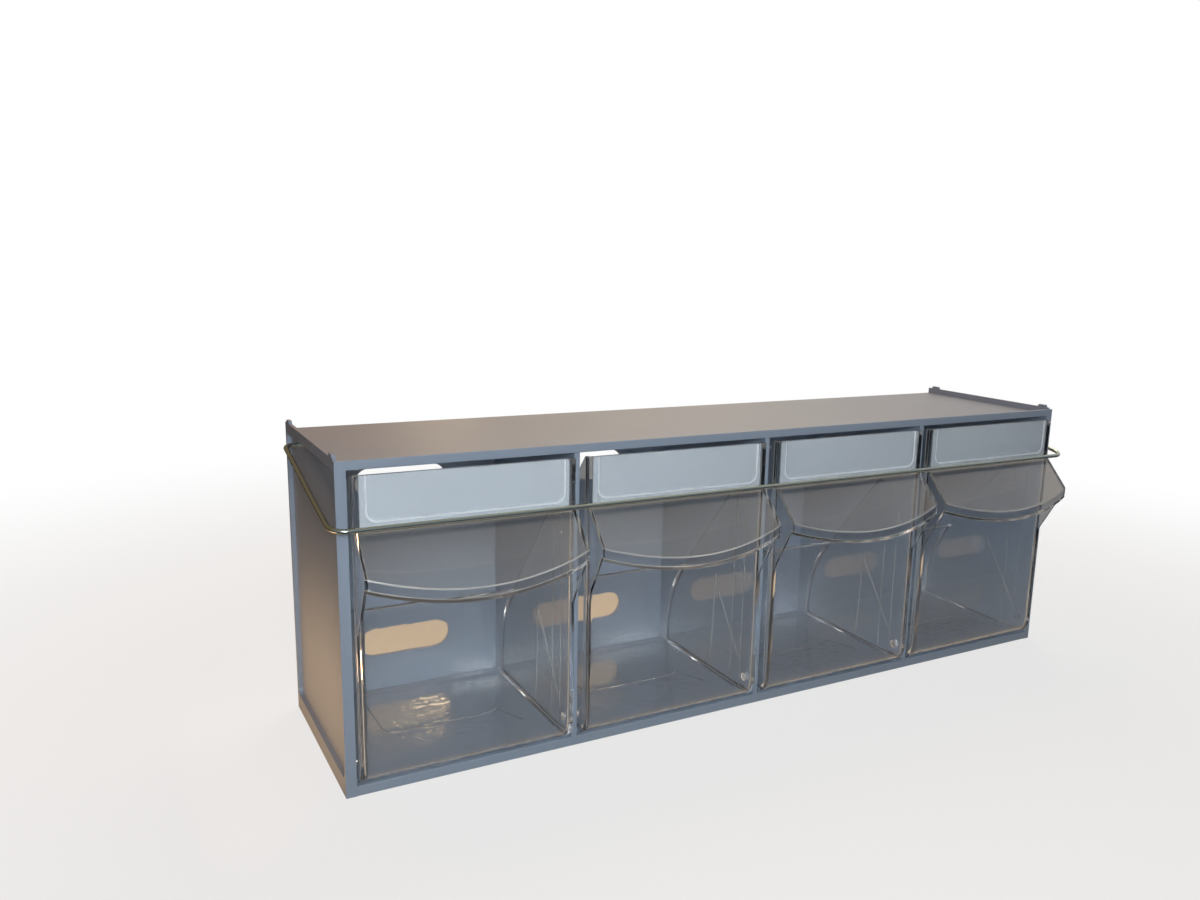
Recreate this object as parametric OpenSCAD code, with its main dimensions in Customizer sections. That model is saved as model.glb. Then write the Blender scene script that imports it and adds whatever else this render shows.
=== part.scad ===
// Tilt-out parts bin cabinet: four clear bins in a housing, with a wire locking bar.
// Millimetres. X runs along the cabinet, the front faces -Y, Z is up.
// The origin is the centre of the housing's footprint, on the surface it stands on.

/* [Bins] */
// Outer width of one bin
bin_w = 139.8; // [100:0.1:180]
// Height of a bin, from its underside to the top of its front
bin_h = 192; // [180:1:240]
// How far a bin front stands out of the housing front
bin_proud = 6; // [4:0.5:10]
// Thickness of a bin's sides, floor and back
bin_wall = 2; // [1.2:0.1:3]
// Thickness of a bin's front
bin_front_t = 2.2; // [1.5:0.1:3]
// Radius of a bin's curved back
back_curve_r = 100; // [80:1:110]
// Depth of the back curve's centre behind the housing front
back_curve_depth = 22.4; // [15:0.1:30]
// Height of the back curve's centre above the bin's underside
back_curve_rise = 9.6; // [5:0.1:15]
// Angle above level at which the curved back ends
back_top_angle = 42; // [30:1:55]
// Width of the raised pad in the bin floor
pad_w = 80; // [50:1:90]
// Depth of the raised pad, front to back
pad_d = 60; // [40:1:66]
// Depth of the pad's front edge behind the housing front
pad_depth = 37; // [30:1:44]
// Corner radius of the pad
pad_r = 10; // [4:1:16]
// Height of the pad above the bin floor
pad_h = 0.8; // [0.4:0.1:1.5]

/* [Pull] */
// Distance from a bin's side to the end of its pull
pull_inset = 0.5; // [0:0.1:4]
// Height of the pull's root above the bin's underside
pull_rise = 161; // [140:1:170]
// Slope of the pull's hood below level
pull_angle = 46.3; // [40:0.1:52]
// Reach of the pull in front of the bin at its ends
pull_reach_end = 22; // [16:1:28]
// How much further the pull reaches at its middle
pull_bow = 10; // [4:1:16]
// Height of the lip along the pull's front edge
pull_lip_h = 8.5; // [5:0.5:14]
// Thickness of the pull's walls
pull_wall = 2; // [1.2:0.1:3]
// Height of the pull's end webs where they meet the bin front
pull_web_h = 64; // [50:1:80]

/* [Labels] */
// Width of a label card
label_w = 131; // [90:1:134]
// Height of a label card
label_h = 33; // [20:1:40]
// Thickness of a label card
label_t = 0.6; // [0.3:0.1:1]
// Clearance in front of and behind the card in its pocket
label_clear = 0.1; // [0.05:0.05:0.3]
// Clearance at each end of the card
label_end_clear = 0.4; // [0.2:0.1:1]
// Thickness of the wall behind the card
pocket_wall = 1.5; // [1:0.1:2.5]
// Height of the ledge under the card
pocket_ledge = 2; // [1:0.5:4]

/* [Pivots] */
// Depth of the bins' pivot line behind the housing front
pivot_depth = 8; // [7:0.5:10]
// Height of the pivot line above the bin's underside
pivot_rise = 12; // [10:0.5:15]
// Radius of a pivot pin
pin_r = 3; // [2:0.1:4]
// Radial clearance of a pin in the housing
pin_clear = 0.05; // [0.02:0.01:0.1]
// Radial clearance of a pin in the bin that carries it
pin_seat_clear = 0.02; // [0.01:0.01:0.05]
// Clearance past the end of a pin
pin_end_gap = 0.2; // [0.1:0.05:0.5]

/* [Housing] */
// Clearance beside a bin in the two end cells
end_cell_gap = 1.25; // [0.6:0.05:3]
// Clearance beside a bin in the two middle cells
middle_cell_gap = 2.7; // [0.6:0.1:4]
// Clearance under a bin, above the bottom lip
bin_under_gap = 0.6; // [0.4:0.1:2]
// Gap over a bin, below the top panel
bin_over_gap = 2.3; // [2:0.1:8]
// Space between a bin's back and the back panel
bin_back_gap = 19.1; // [8:0.1:40]
// Thickness of a divider
divider_t = 4; // [3:0.1:6]
// Thickness of an end panel at its flanges
end_t = 6.5; // [5.5:0.1:9]
// Depth of the recess in an end panel's outer face
end_recess = 3; // [1.5:0.1:3.4]
// Width of an end panel's flanges along its front and back edges
end_flange_t = 3; // [2:0.5:6]
// Height of an end panel's flange along its bottom edge
end_foot_h = 11; // [8:0.5:13]
// Thickness of the rim along the outer top edge of an end panel
end_rim_t = 2.2; // [1.6:0.1:3]
// How far the rim stands above the top lip
end_rise = 1; // [0.5:0.1:4]
// Thickness of the top panel
top_t = 1.9; // [1.5:0.1:4]
// Thickness of the bottom panel
bottom_t = 3.5; // [2.5:0.1:5]
// Thickness of the back panel
back_t = 2.5; // [2:0.1:5]
// Thickness of the front lips, front to back
lip_t = 3; // [2:0.1:4]
// Height of the bottom lip above the base
bottom_lip_h = 6.4; // [5.6:0.1:9]
// How far the top lip stands above the top panel
top_lip_rise = 3.8; // [1:0.1:6]

/* [Hanging slots] */
// Length of a hanging slot
slot_w = 67; // [40:1:90]
// Height of a hanging slot, which is also twice its end radius
slot_h = 22; // [12:1:30]
// Height of the lower slots' centres above the base
slot_low = 41; // [30:1:60]
// Distance of the upper slots' centres below the top of the housing
slot_drop = 46.5; // [30:0.5:60]

/* [Stacking lugs] */
// Length of a stacking lug, front to back
lug_l = 9; // [6:0.5:14]
// Height of a stacking lug above the rim it stands on
lug_h = 2; // [1:0.1:4]
// Length of the slope at each end of a lug
lug_slope = 1.2; // [0.5:0.1:2]
// Distance of the front lugs from the housing front
lug_front = 5; // [4:0.1:12]
// Distance of the rear lugs from the housing back
lug_rear = 4; // [2:0.5:12]

/* [Locking bar] */
// Diameter of the wire
wire_d = 3.2; // [2:0.1:4]
// Gap between the bar and the bin fronts
bar_gap = 4; // [3:0.1:8]
// Height of the bar above the root of the pulls
bar_over_pull = 1; // [0:0.5:6]
// Gap between the bar's arms and the end panels
bar_side_gap = 3.9; // [2.5:0.1:8]
// Centre-line radius of the wire's bends beside the pivot
bend_r = 5; // [4:0.1:5.5]
// Centre-line radius of the wire's bends at the front
front_bend_r = 10; // [4:0.1:12]
// Distance of the bar's pivot from the housing back
bar_pivot_inset = 26; // [20:1:40]
// Distance of the bar's pivot below the underside of the top panel
bar_pivot_drop = 5.3; // [4:0.1:12]
// How far the wire's ends stand inside the end panels
wire_inside = 1; // [0:0.1:1.5]
// Radial clearance of the wire in its holes
wire_clear = 0.08; // [0.02:0.01:0.1]

/* [Hidden] */
$fn = 96;

// A cut runs past the face it opens by this much.
past = 1;
// Facets of a wide, shallow curve and of the thin wire.
wide_fn = 360;
wire_fn = 32;

// Cells and panels along X.
end_cell_w = bin_w + 2 * end_cell_gap;
middle_cell_w = bin_w + 2 * middle_cell_gap;
cell_pitch = middle_cell_w + divider_t;
inner_half_w = cell_pitch + divider_t / 2 + end_cell_w;
cab_half_w = inner_half_w + end_t;
divider_x = [-cell_pitch, 0, cell_pitch];
end_bin_x = inner_half_w - end_cell_w / 2;
bin_x = [-end_bin_x, -cell_pitch / 2, cell_pitch / 2, end_bin_x];
cell_gaps = [end_cell_gap, middle_cell_gap, middle_cell_gap, end_cell_gap];

// Depths along Y.
cab_d = back_curve_depth + back_curve_r + bin_back_gap + back_t;
front_y = -cab_d / 2;
back_y = cab_d / 2;
back_inner_y = back_y - back_t;
bin_front_y = front_y - bin_proud;
pivot_y = front_y + pivot_depth;
curve_y = front_y + back_curve_depth;

// Heights along Z.
bin_z = bottom_lip_h + bin_under_gap;
bin_top_z = bin_z + bin_h;
ceiling_z = bin_top_z + bin_over_gap;
top_z = ceiling_z + top_t;
cab_h = top_z + top_lip_rise;
rim_z = cab_h + end_rise;
pivot_z = bin_z + pivot_rise;
curve_z = bin_z + back_curve_rise;

// The bin's side outline. Its lower front corner is an arc about the pivot, so that it
// clears the bottom lip as the bin tips.
corner_gap = 0.35;
corner_start = 15;
corner_r = norm([pivot_depth - lip_t, pivot_z - bottom_lip_h]) - corner_gap;
corner_at = [pivot_y - corner_r * cos(corner_start), pivot_z - corner_r * sin(corner_start)];
corner_top_z = corner_at[1] + (corner_at[0] - bin_front_y) / tan(corner_start);
card_slot_t = label_t + 2 * label_clear;
pocket_t = bin_front_t + card_slot_t + pocket_wall;
back_top = [curve_y + back_curve_r * cos(back_top_angle), curve_z + back_curve_r * sin(back_top_angle)];
far = 3 * back_curve_r;

// The pull.
pull_w = bin_w - 2 * pull_inset;
pull_root_z = bin_z + pull_rise;
pull_front_r = ((pull_w / 2) ^ 2 + pull_bow ^ 2) / (2 * pull_bow);
pull_axis_y = bin_front_y - pull_reach_end - pull_bow + pull_front_r;
pull_root_y = bin_front_y + bin_front_t / 2;
pull_nose_y = bin_front_y - pull_reach_end - pull_bow - past;
// The end webs run from just behind the lip down to the bin front.
web_top_y = bin_front_y - pull_reach_end + pull_wall;
web_top_z = pull_root_z - (bin_front_y - web_top_y) * tan(pull_angle) - pull_lip_h;
web_foot_z = pull_root_z - pull_web_h;
web_slope = (web_top_z - web_foot_z) / (bin_front_y - web_top_y);

// Pivot pins.
pin_in = (divider_t - 2 * pin_end_gap) / 2;

// The locking bar lies in one plane through its pivot line.
wire_r = wire_d / 2;
bar_y = bin_front_y - bar_gap - wire_r;
bar_z = pull_root_z + bar_over_pull;
bar_pivot_y = back_y - bar_pivot_inset;
bar_pivot_z = ceiling_z - bar_pivot_drop;
bar_arm_x = cab_half_w + bar_side_gap + wire_r;
bar_len = norm([bar_pivot_y - bar_y, bar_pivot_z - bar_z]);
bar_pitch = atan2(bar_pivot_z - bar_z, bar_pivot_y - bar_y);

housing_grey = "#8b94a2";
clear_plastic = [0.66, 0.70, 0.76, 0.45];
card_white = "#dfe7ee";
wire_zinc = "#b9a982";

// A plate between two corners.
module block(low, high) {
    translate(low) cube(high - low);
}

// Extrudes an outline drawn in Y and Z along X, centred on X = 0.
module along_x(w) {
    translate([-w / 2, 0, 0]) rotate([90, 0, 90]) linear_extrude(w) children();
}

// A rectangle with round corners, centred on the origin.
module round_rect(w, h, r) {
    union() {
        square([w - 2 * r, h], center = true);
        if (h > 2 * r) square([w, h - 2 * r], center = true);
        for (x = [-1, 1], y = [-1, 1])
            translate([x * (w / 2 - r), y * (h / 2 - r)]) circle(r);
    }
}

// A cylinder along X, from x = from to x = to.
module rod(r, from, to) {
    translate([from, 0, 0]) rotate([0, 90, 0]) cylinder(r = r, h = to - from);
}

// Room in the front lips for the dividers' front edges.
module divider_notches(low, high) {
    for (x = divider_x)
        block([x - divider_t / 2, front_y - past, low], [x + divider_t / 2, front_y + lip_t, high]);
}

module top_panel() {
    color(housing_grey) difference() {
        union() {
            block([-inner_half_w, front_y, ceiling_z], [inner_half_w, back_inner_y, top_z]);
            block([-inner_half_w, front_y, ceiling_z], [inner_half_w, front_y + lip_t, cab_h]);
        }
        divider_notches(ceiling_z - past, cab_h + past);
    }
}

module bottom_panel() {
    color(housing_grey) difference() {
        union() {
            block([-inner_half_w, front_y, 0], [inner_half_w, back_inner_y, bottom_t]);
            block([-inner_half_w, front_y, 0], [inner_half_w, front_y + lip_t, bottom_lip_h]);
        }
        divider_notches(-past, bottom_lip_h + past);
    }
}

module back_panel() {
    color(housing_grey) difference() {
        block([-inner_half_w, back_inner_y, 0], [inner_half_w, back_y, top_z]);
        for (x = bin_x, z = [slot_low, cab_h - slot_drop])
            translate([x, back_y + past, z]) rotate([90, 0, 0])
                linear_extrude(back_t + 2 * past) round_rect(slot_w, slot_h, slot_h / 2);
    }
}

module divider(i) {
    x = divider_x[i - 1];
    color(housing_grey) difference() {
        union() {
            block([x - divider_t / 2, front_y, bottom_t], [x + divider_t / 2, back_inner_y, ceiling_z]);
            block([x - divider_t / 2, front_y, 0], [x + divider_t / 2, front_y + lip_t, cab_h]);
        }
        translate([0, pivot_y, pivot_z])
            rod(pin_r + pin_clear, x - divider_t / 2 - past, x + divider_t / 2 + past);
    }
}

// A lug that holds the next cabinet of a stack in place.
module lug(y) {
    low = rim_z - end_rise;
    top = rim_z + lug_h;
    translate([cab_half_w - end_rim_t / 2, 0, 0]) along_x(end_rim_t)
        polygon([[y, low], [y, rim_z], [y + lug_slope, top],
                 [y + lug_l - lug_slope, top], [y + lug_l, rim_z], [y + lug_l, low]]);
}

// The right end panel. The left one is its mirror image.
module end_panel() {
    color(housing_grey) difference() {
        union() {
            block([inner_half_w, front_y, 0], [cab_half_w, back_y, top_z]);
            block([inner_half_w, front_y, ceiling_z], [cab_half_w, front_y + lip_t, cab_h]);
            block([cab_half_w - end_rim_t, front_y + lip_t, ceiling_z],
                  [cab_half_w, back_y, rim_z]);
            lug(front_y + lug_front);
            lug(back_y - lug_rear - lug_l);
        }
        block([cab_half_w - end_recess, front_y + end_flange_t, end_foot_h],
              [cab_half_w + past, back_y - end_flange_t, ceiling_z]);
        translate([0, pivot_y, pivot_z])
            rod(pin_r + pin_clear, inner_half_w - past, inner_half_w + pin_in + pin_end_gap);
        translate([0, bar_pivot_y, bar_pivot_z])
            rod(wire_r + wire_clear, inner_half_w - past, cab_half_w);
    }
}

// The bin seen from the side, without its pull.
module bin_outline() {
    front = [[bin_front_y, corner_top_z], [bin_front_y, bin_top_z],
             [bin_front_y + pocket_t, bin_top_z], back_top, [curve_y, bin_z],
             [pivot_y, bin_z], corner_at];
    union() {
        polygon(front);
        intersection() {
            translate([pivot_y, pivot_z]) circle(corner_r);
            translate([bin_front_y, bin_z]) square([2 * corner_r, corner_r]);
        }
        intersection() {
            translate([curve_y, curve_z]) circle(back_curve_r);
            polygon([[curve_y, bin_z], back_top, [curve_y + far, back_top[1]], [curve_y + far, bin_z]]);
        }
    }
}

// The hollow of the bin seen from the side, open above the back.
module hollow_outline() {
    inner_front_y = bin_front_y + bin_front_t;
    floor_z = bin_z + bin_wall;
    reach = [curve_y + far * cos(back_top_angle), curve_z + far * sin(back_top_angle)];
    difference() {
        translate([inner_front_y, floor_z]) square([far, far]);
        difference() {
            polygon([[curve_y, curve_z], reach, [curve_y + far, bin_z - past], [curve_y, bin_z - past]]);
            translate([curve_y, curve_z]) circle(back_curve_r - bin_wall);
        }
        difference() {
            translate([bin_front_y, bin_z - past]) square([pivot_y - bin_front_y, pivot_rise + past]);
            translate([pivot_y, pivot_z]) circle(pivot_y - inner_front_y);
        }
    }
}

// Height of the upper face of a pull's hood at a depth in front of the bin.
function hood_z(y) = pull_root_z + (y - bin_front_y) * tan(pull_angle);

// The upright cylinder whose front side gives the pull its bow.
module pull_bow_cylinder(r) {
    translate([0, pull_axis_y, 0]) cylinder(r = r, h = far, $fn = wide_fn);
}

// The hooded finger pull: a sloping hood with a bowed front lip and a web at each end.
// It is a solid wedge with its inside taken out, so that its walls are one piece.
module pull() {
    hollow_y = pull_root_y + past;
    hood_t = pull_wall / cos(pull_angle);
    difference() {
        intersection() {
            pull_bow_cylinder(pull_front_r);
            along_x(pull_w)
                polygon([[pull_root_y, hood_z(pull_root_y)], [pull_nose_y, hood_z(pull_nose_y)],
                         [pull_nose_y, hood_z(pull_nose_y) - pull_lip_h], [web_top_y, web_top_z],
                         [pull_root_y, web_foot_z - (pull_root_y - bin_front_y) * web_slope]]);
        }
        intersection() {
            pull_bow_cylinder(pull_front_r - pull_wall);
            along_x(pull_w - 2 * pull_wall)
                polygon([[hollow_y, hood_z(hollow_y) - hood_t], [pull_nose_y, hood_z(pull_nose_y) - hood_t],
                         [pull_nose_y, bin_z], [hollow_y, bin_z]]);
        }
    }
}

// The block behind the bin's front that holds the label card.
module label_pocket() {
    y = bin_front_y + bin_front_t;
    half = bin_w / 2 - bin_wall;
    block([-half - bin_wall / 2, y - bin_front_t / 2, bin_top_z - label_h - pocket_ledge],
          [half + bin_wall / 2, bin_front_y + pocket_t, bin_top_z]);
}

module card_slot() {
    y = bin_front_y + bin_front_t;
    half = label_w / 2 + label_end_clear;
    block([-half, y, bin_top_z - label_h], [half, y + card_slot_t, bin_top_z + past]);
}

module floor_pad() {
    translate([0, front_y + pad_depth + pad_d / 2, bin_z + bin_wall / 2])
        linear_extrude(bin_wall / 2 + pad_h) round_rect(pad_w, pad_d, pad_r);
}

module bin(i) {
    color(clear_plastic) translate([bin_x[i - 1], 0, 0]) difference() {
        union() {
            difference() {
                along_x(bin_w) bin_outline();
                along_x(bin_w - 2 * bin_wall) hollow_outline();
            }
            pull();
            label_pocket();
            floor_pad();
        }
        card_slot();
        translate([0, pivot_y, pivot_z]) rod(pin_r + pin_seat_clear, -bin_w, bin_w);
    }
}

// The two stub pins that carry a bin, one through each side wall.
module pivot_pins(i) {
    inner = bin_w / 2 - bin_wall;
    outer = bin_w / 2 + cell_gaps[i - 1] + pin_in;
    color(clear_plastic) translate([bin_x[i - 1], pivot_y, pivot_z]) {
        rod(pin_r, inner, outer);
        rod(pin_r, -outer, -inner);
    }
}

module label_card(i) {
    y = bin_front_y + bin_front_t + label_clear;
    color(card_white) translate([bin_x[i - 1], 0, 0])
        block([-label_w / 2, y, bin_top_z - label_h], [label_w / 2, y + label_t, bin_top_z]);
}

// A quarter turn of wire from +X to +Y, its centre of curvature at the origin.
module wire_bend(r) {
    rotate_extrude(angle = 90) translate([r, 0]) circle(wire_r, $fn = wire_fn);
}

// Half of the bar in its own plane: X along the bar, Y from the bar to the pivot line.
module half_bar() {
    arm_x = bar_arm_x;
    rod(wire_r, 0, arm_x - front_bend_r);
    translate([arm_x - front_bend_r, front_bend_r, 0]) rotate([0, 0, -90]) wire_bend(front_bend_r);
    translate([arm_x, front_bend_r, 0]) rotate([-90, 0, 0])
        cylinder(r = wire_r, h = bar_len - front_bend_r - bend_r);
    translate([arm_x - bend_r, bar_len - bend_r, 0]) wire_bend(bend_r);
    translate([0, bar_len, 0]) rod(wire_r, inner_half_w - wire_inside, arm_x - bend_r);
}

module locking_bar() {
    color(wire_zinc) translate([0, bar_y, bar_z]) rotate([bar_pitch, 0, 0]) union() {
        half_bar();
        mirror([1, 0, 0]) half_bar();
    }
}

top_panel();
bottom_panel();
back_panel();
mirror([1, 0, 0]) end_panel();  // left_end_panel
end_panel();  // right_end_panel
divider(1);  // divider_1
divider(2);  // divider_2
divider(3);  // divider_3
bin(1);  // bin_1
bin(2);  // bin_2
bin(3);  // bin_3
bin(4);  // bin_4
pivot_pins(1);  // pivot_pins_1
pivot_pins(2);  // pivot_pins_2
pivot_pins(3);  // pivot_pins_3
pivot_pins(4);  // pivot_pins_4
label_card(1);  // label_card_1
label_card(2);  // label_card_2
label_card(3);  // label_card_3
label_card(4);  // label_card_4
locking_bar();
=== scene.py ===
"""The looks of a tilt-out parts bin cabinet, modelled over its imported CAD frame."""
import logging
import math
from collections.abc import Callable, Iterator
from contextlib import contextmanager
from dataclasses import dataclass
from enum import Enum

import bmesh
import bpy
from mathutils import Matrix, Vector


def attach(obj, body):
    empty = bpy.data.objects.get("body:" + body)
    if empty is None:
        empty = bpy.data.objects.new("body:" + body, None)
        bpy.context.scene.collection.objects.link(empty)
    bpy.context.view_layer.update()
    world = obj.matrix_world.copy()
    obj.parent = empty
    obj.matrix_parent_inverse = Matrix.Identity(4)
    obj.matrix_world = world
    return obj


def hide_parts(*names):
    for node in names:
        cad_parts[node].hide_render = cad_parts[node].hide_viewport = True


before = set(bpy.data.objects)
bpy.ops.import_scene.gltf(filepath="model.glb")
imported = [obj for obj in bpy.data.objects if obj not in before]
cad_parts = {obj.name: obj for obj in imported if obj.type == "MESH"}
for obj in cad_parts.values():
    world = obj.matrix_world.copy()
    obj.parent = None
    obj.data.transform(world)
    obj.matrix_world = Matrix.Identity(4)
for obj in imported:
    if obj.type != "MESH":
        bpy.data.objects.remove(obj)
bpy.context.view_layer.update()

log = logging.getLogger("cabinet")

MM = 0.001
# How far a cutter reaches past what it cuts, in millimetres, and how far where the next wall is near.
OVERCUT = 5.0
SHORT_OVERCUT = 1.0
# The refractive index of polystyrene.
STYRENE_IOR = 1.59


class Joinery(Enum):
    """What becomes of two volumes that are combined."""

    JOIN = "UNION"
    TAKE_AWAY = "DIFFERENCE"


# --- Units and colours -----------------------------------------------------------------


def mm(x: float, y: float, z: float) -> Vector:
    """A point or a size given in millimetres, in metres."""
    return Vector((x, y, z)) * MM


def per_mm(period: float) -> float:
    """The texture scale whose features repeat about every so many millimetres."""
    return 1.0 / (period * MM)


def linear(hex_code: str) -> tuple[float, float, float, float]:
    """Turn an sRGB colour into the linear one that shaders work in.

    Args:
        hex_code: The colour as six hex digits after a hash.

    Returns:
        Linear red, green and blue, and an alpha of 1.
    """
    channels = [int(hex_code[i:i + 2], 16) / 255 for i in (1, 3, 5)]
    flat = [c / 12.92 if c <= 0.04045 else ((c + 0.055) / 1.055) ** 2.4 for c in channels]
    return (flat[0], flat[1], flat[2], 1.0)


# --- Shader nodes ----------------------------------------------------------------------


def add_node(tree: bpy.types.NodeTree, kind: str, values: dict | None = None,
             links: dict | None = None, **settings: object) -> bpy.types.Node:
    """Add one node to a tree, set it up and link its inputs.

    Args:
        tree: The tree that gets the node.
        kind: The node's type name, as bpy knows it.
        values: Input socket name or number, to the value set on it.
        links: Input socket name or number, to the output socket that feeds it.
        settings: The node's own properties.

    Returns:
        The new node.
    """
    node = tree.nodes.new(kind)
    for name, value in settings.items():
        setattr(node, name, value)
    for socket, value in (values or {}).items():
        node.inputs[socket].default_value = value
    for socket, source in (links or {}).items():
        tree.links.new(source, node.inputs[socket])
    return node


def empty_tree(owner: bpy.types.Material | bpy.types.World) -> bpy.types.NodeTree:
    """Turn on an owner's nodes and clear them.

    Args:
        owner: The material or the world.

    Returns:
        Its node tree, with no nodes.
    """
    owner.use_nodes = True
    owner.node_tree.nodes.clear()
    return owner.node_tree


def looked_at(tree: bpy.types.NodeTree, kind: str) -> bpy.types.NodeSocket:
    """Tell the rays of a kind that show a surface from those that only carry light to one.

    Args:
        tree: The tree that gets the nodes.
        kind: The ray's kind, as the Light Path node names it.

    Returns:
        A socket that is 1 on such a ray until it has met a matt surface, and 0 otherwise.
    """
    rays = add_node(tree, "ShaderNodeLightPath")
    straight = add_node(tree, "ShaderNodeMath", {1: 0.5}, {0: rays.outputs["Diffuse Depth"]},
                        operation="LESS_THAN")
    return add_node(tree, "ShaderNodeMath", None, {0: rays.outputs[kind], 1: straight.outputs[0]},
                    operation="MULTIPLY").outputs[0]


@dataclass(frozen=True)
class MouldedStyrene:
    """High-impact polystyrene, injection moulded in a spark-eroded tool.

    The tool leaves a fine even grain that scatters the gloss, and the melt leaves faint
    clouds of lighter and darker colour.
    """

    name: str = "moulded_styrene_grey"
    colour: str = "#8b96a4"
    cloud_colour: str = "#838e9d"
    roughness: float = 0.42
    # How much the grain varies the roughness, each way.
    roughness_swing: float = 0.05
    cloud_mm: float = 38.0
    # The real grain is about 0.1 mm; it is drawn coarser so that it shows.
    grain_mm: float = 0.7
    grain_depth_mm: float = 0.02
    grain_strength: float = 0.35

    def make(self) -> bpy.types.Material:
        """Build the material.

        Returns:
            The new material.
        """
        material = bpy.data.materials.new(self.name)
        tree = empty_tree(material)
        place = add_node(tree, "ShaderNodeTexCoord").outputs["Object"]
        clouds = add_node(tree, "ShaderNodeTexNoise", {"Scale": per_mm(self.cloud_mm), "Detail": 3.0},
                          {"Vector": place})
        tint = add_node(tree, "ShaderNodeMix", {"A": linear(self.colour), "B": linear(self.cloud_colour)},
                        {"Factor": clouds.outputs["Fac"]}, data_type="RGBA")
        grain = add_node(tree, "ShaderNodeTexNoise", {"Scale": per_mm(self.grain_mm), "Detail": 2.0},
                         {"Vector": place})
        bump = add_node(tree, "ShaderNodeBump",
                        {"Strength": self.grain_strength, "Distance": self.grain_depth_mm * MM},
                        {"Height": grain.outputs["Fac"]})
        gloss = add_node(tree, "ShaderNodeMapRange",
                         {"To Min": self.roughness - self.roughness_swing,
                          "To Max": self.roughness + self.roughness_swing},
                         {"Value": grain.outputs["Fac"]})
        shader = add_node(tree, "ShaderNodeBsdfPrincipled", {"IOR": STYRENE_IOR},
                          {"Base Color": tint.outputs["Result"], "Roughness": gloss.outputs["Result"],
                           "Normal": bump.outputs["Normal"]})
        add_node(tree, "ShaderNodeOutputMaterial", None, {"Surface": shader.outputs["BSDF"]})
        return material


@dataclass(frozen=True)
class ClearStyrene:
    """General-purpose polystyrene, injection moulded in a polished tool, faintly smoky."""

    name: str = "clear_styrene_smoke"
    roughness: float = 0.04
    # The share of the light that the surface scatters instead of letting it through.
    frost: float = 0.0
    colour: str = "#f3f1ee"
    # What one face of a wall lets through of the lamps' light.
    shade_colour: str = "#f8f9fb"
    wave_mm: float = 14.0
    wave_depth_mm: float = 0.05
    # The mould's polished floor has a finer ripple, which breaks a lamp's reflection into sparks.
    ripple_mm: float = 5.0
    ripple_depth_mm: float = 0.12
    # Where the ripple comes in, in millimetres in the frame: along Y to the back, along Z to the floor.
    back_fade: tuple[float, float] = (-40.0, -5.0)
    floor_fade: tuple[float, float] = (22.0, 12.0)
    # How deep it is on the back, as a share of its depth on the floor.
    back_share: float = 0.4

    def make(self) -> bpy.types.Material:
        """Build the material.

        Returns:
            The new material.
        """
        material = bpy.data.materials.new(self.name)
        tree = empty_tree(material)
        place = add_node(tree, "ShaderNodeTexCoord").outputs["Object"]
        waves = add_node(tree, "ShaderNodeTexNoise", {"Scale": per_mm(self.wave_mm), "Detail": 1.0},
                         {"Vector": place})
        bump = add_node(tree, "ShaderNodeBump", {"Strength": 1.0, "Distance": self.wave_depth_mm * MM},
                        {"Height": waves.outputs["Fac"]})
        ripples = add_node(tree, "ShaderNodeTexNoise", {"Scale": per_mm(self.ripple_mm), "Detail": 0.0},
                           {"Vector": place})
        spot = add_node(tree, "ShaderNodeSeparateXYZ", None, {0: place})
        back = add_node(tree, "ShaderNodeMapRange",
                        {"From Min": self.back_fade[0] * MM, "From Max": self.back_fade[1] * MM,
                         "To Max": self.back_share}, {"Value": spot.outputs["Y"]})
        low = add_node(tree, "ShaderNodeMapRange",
                       {"From Min": self.floor_fade[0] * MM, "From Max": self.floor_fade[1] * MM},
                       {"Value": spot.outputs["Z"]})
        share = add_node(tree, "ShaderNodeMath", None, {0: back.outputs[0], 1: low.outputs[0]},
                         operation="MAXIMUM")
        rippled = add_node(tree, "ShaderNodeBump", {"Distance": self.ripple_depth_mm * MM},
                           {"Height": ripples.outputs["Fac"], "Strength": share.outputs[0],
                            "Normal": bump.outputs["Normal"]})
        shader = add_node(tree, "ShaderNodeBsdfPrincipled",
                          {"Base Color": linear(self.colour), "Roughness": self.roughness,
                           "IOR": STYRENE_IOR, "Transmission Weight": 1.0 - self.frost},
                          {"Normal": rippled.outputs["Normal"]})
        rays = add_node(tree, "ShaderNodeLightPath")
        clear = add_node(tree, "ShaderNodeBsdfTransparent", {"Color": linear(self.shade_colour)})
        mixed = add_node(tree, "ShaderNodeMixShader", None,
                         {0: rays.outputs["Is Shadow Ray"], 1: shader.outputs["BSDF"],
                          2: clear.outputs["BSDF"]})
        add_node(tree, "ShaderNodeOutputMaterial", None, {"Surface": mixed.outputs["Shader"]})
        return material


@dataclass(frozen=True)
class CardStock:
    """Uncoated label card: matt, with a faint felt of paper fibres."""

    name: str = "label_card_stock"
    colour: str = "#a4aaaf"
    fibre_colour: str = "#9ba1a7"
    fibre_mm: float = 1.2
    roughness: float = 0.85

    def make(self) -> bpy.types.Material:
        """Build the material.

        Returns:
            The new material.
        """
        material = bpy.data.materials.new(self.name)
        tree = empty_tree(material)
        place = add_node(tree, "ShaderNodeTexCoord").outputs["Object"]
        fibres = add_node(tree, "ShaderNodeTexNoise", {"Scale": per_mm(self.fibre_mm), "Detail": 4.0},
                          {"Vector": place})
        tint = add_node(tree, "ShaderNodeMix", {"A": linear(self.colour), "B": linear(self.fibre_colour)},
                        {"Factor": fibres.outputs["Fac"]}, data_type="RGBA")
        shader = add_node(tree, "ShaderNodeBsdfPrincipled", {"Roughness": self.roughness},
                          {"Base Color": tint.outputs["Result"]})
        add_node(tree, "ShaderNodeOutputMaterial", None, {"Surface": shader.outputs["BSDF"]})
        return material


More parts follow.
